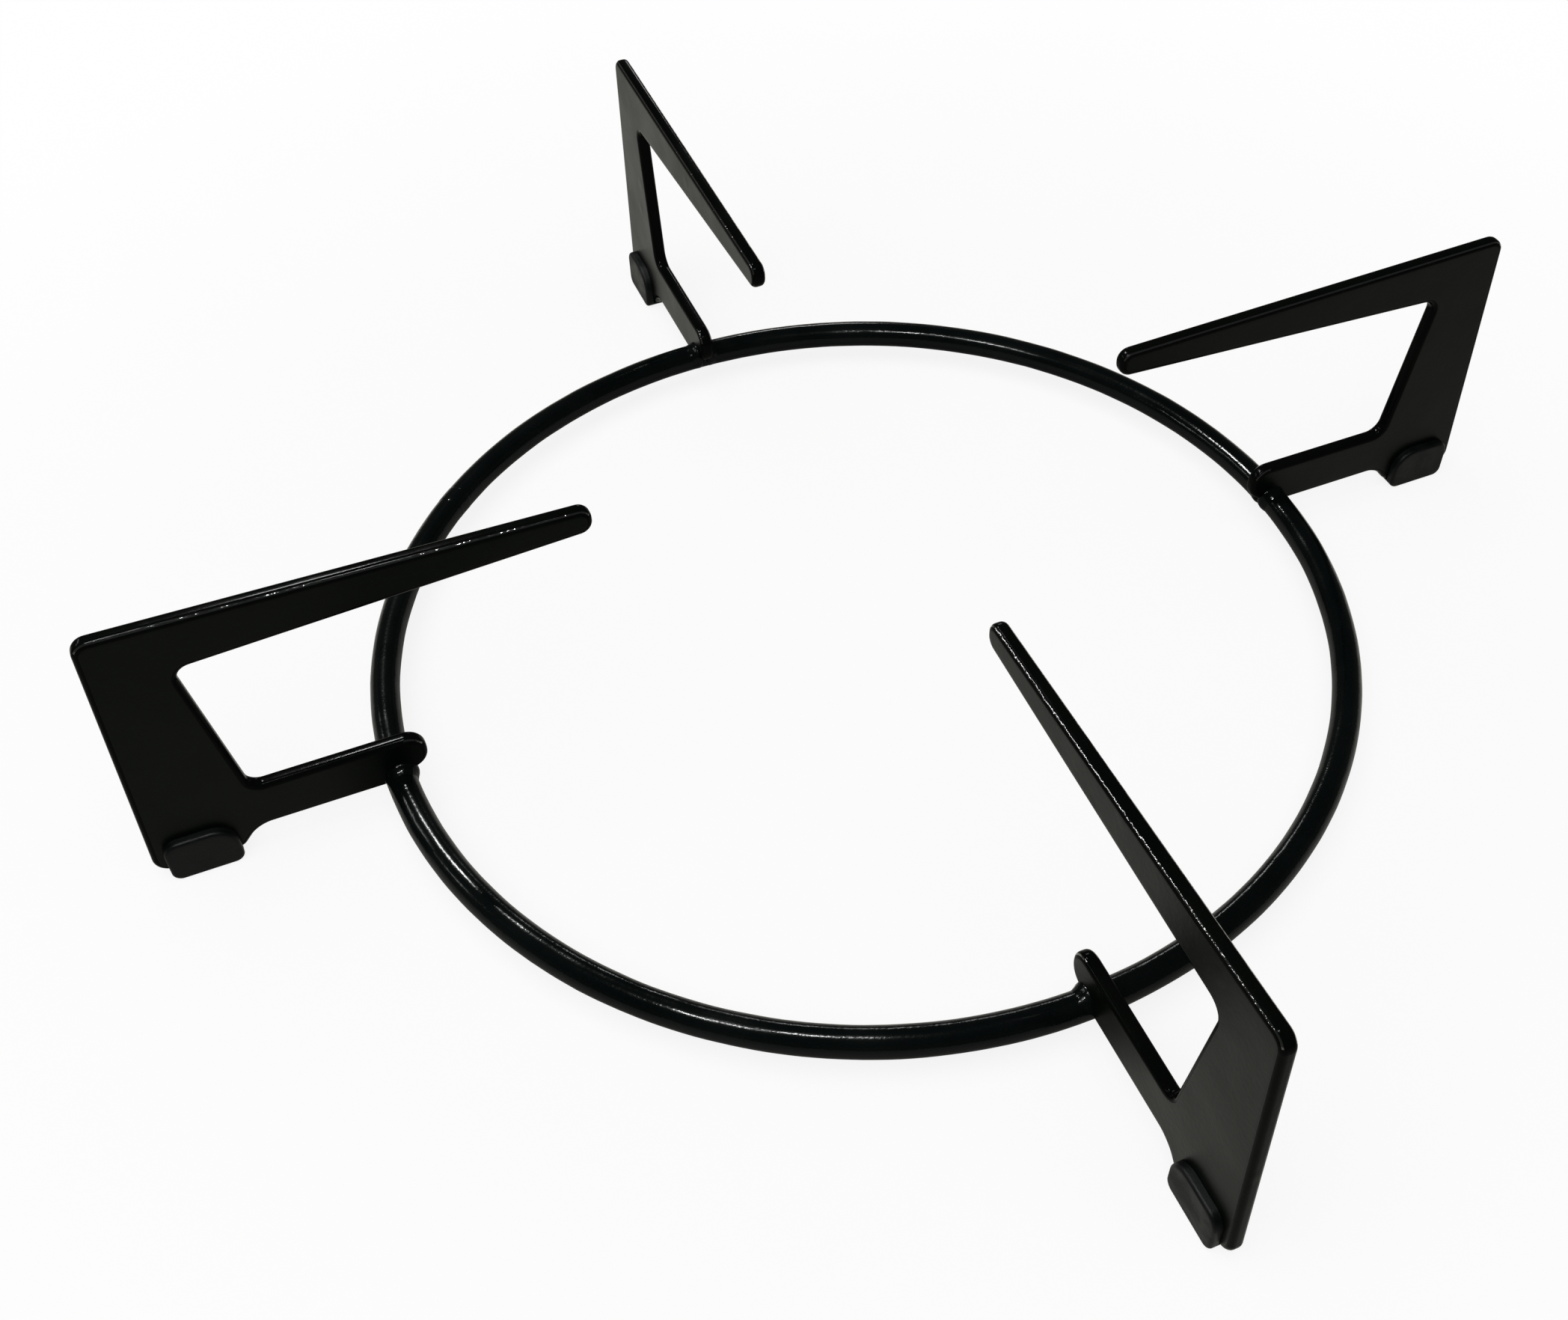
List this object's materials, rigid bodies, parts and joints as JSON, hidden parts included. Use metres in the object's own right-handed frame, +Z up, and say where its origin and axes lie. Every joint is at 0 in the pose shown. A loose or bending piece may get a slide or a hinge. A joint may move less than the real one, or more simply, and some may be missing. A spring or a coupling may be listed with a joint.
{
  "type": "burner pan support",
  "caption": "Enamelled steel pan support: a wire ring that carries upright C-shaped plate arms on rubber boots and holds a pot above a gas burner.",
  "frame": {"origin": "on the floor under the axis of the ring, midway between the boots", "axes": "+Z up along the ring's axis, with one arm each along +X, +Y, -X and -Y"},
  "size_m": [0.2966, 0.2966, 0.0637],
  "materials": {
    "enamelled_wire": "glossy black vitreous enamel with a light orange peel",
    "enamelled_plate": "glossy black vitreous enamel, thicker along the rounded edges",
    "enamelled_weld": "glossy black vitreous enamel over an uneven weld bead",
    "boot_rubber": "matte black moulded rubber"
  },
  "bodies": {
    "root": {"wire_ring": "enamelled_wire", "ring_seam_weld": "enamelled_weld", "right_arm": "enamelled_plate", "right_boot": "boot_rubber", "right_arm_weld_back": "enamelled_weld", "right_arm_weld_front": "enamelled_weld", "back_arm": "enamelled_plate", "back_boot": "boot_rubber", "back_arm_weld_left": "enamelled_weld", "back_arm_weld_right": "enamelled_weld", "left_arm": "enamelled_plate", "left_boot": "boot_rubber", "left_arm_weld_front": "enamelled_weld", "left_arm_weld_back": "enamelled_weld", "front_arm": "enamelled_plate", "front_boot": "boot_rubber", "front_arm_weld_right": "enamelled_weld", "front_arm_weld_left": "enamelled_weld"}
  },
  "joints": []
}
